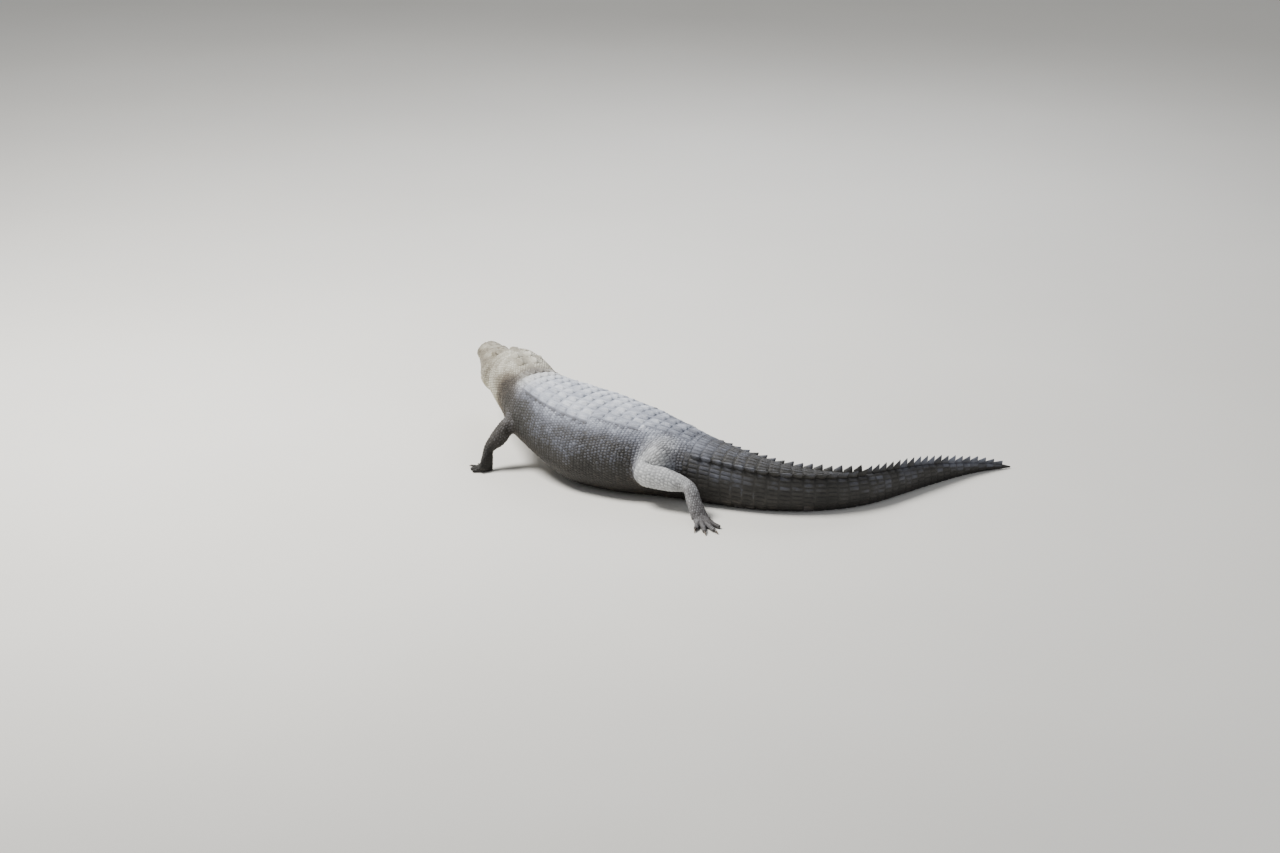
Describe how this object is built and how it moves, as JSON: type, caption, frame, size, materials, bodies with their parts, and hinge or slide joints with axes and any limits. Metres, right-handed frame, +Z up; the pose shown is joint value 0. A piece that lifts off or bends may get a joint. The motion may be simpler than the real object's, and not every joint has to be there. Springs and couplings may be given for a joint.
{
  "type": "american alligator",
  "caption": "Still, life-size american alligator resting on its belly with the chest and head raised, and the body and tail in one wide curve.",
  "frame": {"origin": "the point of the floor under the midline at the middle of the trunk, on the flat of the belly", "axes": "+Z up; the tail runs towards +X and the head is near the -X end, raised and looking towards +Y; the animal's left side faces -Y"},
  "size_m": [2.0603, 1.4891, 0.3634],
  "materials": {
    "hide_pale": "dry pale scaly hide, matte to satin",
    "hide_grey": "dry grey scaly hide, matte to satin",
    "hide_dark": "dry dark grey scaly hide, satin",
    "hide_foot": "dusty dark scaly hide, matte",
    "claw": "dark horn, satin",
    "eye": "wet and glossy"
  },
  "bodies": {
    "root": {"eye_left": "eye", "eye_right": "eye", "foreleg_left_claw_1": "claw", "foreleg_left_claw_2": "claw", "foreleg_left_claw_3": "claw", "foreleg_left_forearm": "hide_foot", "foreleg_left_hand": "hide_foot", "foreleg_left_upper_arm": "hide_grey", "foreleg_right_claw_1": "claw", "foreleg_right_claw_2": "claw", "foreleg_right_claw_3": "claw", "foreleg_right_forearm": "hide_foot", "foreleg_right_hand": "hide_foot", "foreleg_right_upper_arm": "hide_grey", "head": "hide_pale", "hindleg_left_claw_1": "claw", "hindleg_left_claw_2": "claw", "hindleg_left_claw_3": "claw", "hindleg_left_foot": "hide_foot", "hindleg_left_shank": "hide_grey", "hindleg_left_thigh": "hide_grey", "hindleg_right_claw_1": "claw", "hindleg_right_claw_2": "claw", "hindleg_right_claw_3": "claw", "hindleg_right_foot": "hide_foot", "hindleg_right_shank": "hide_grey", "hindleg_right_thigh": "hide_grey", "lower_jaw": "hide_pale", "neck": "hide_pale", "tail_base": "hide_dark", "tail_end": "hide_dark", "tail_front": "hide_dark", "tail_middle": "hide_dark", "tail_rear": "hide_dark", "torso": "hide_grey"}
  },
  "joints": []
}
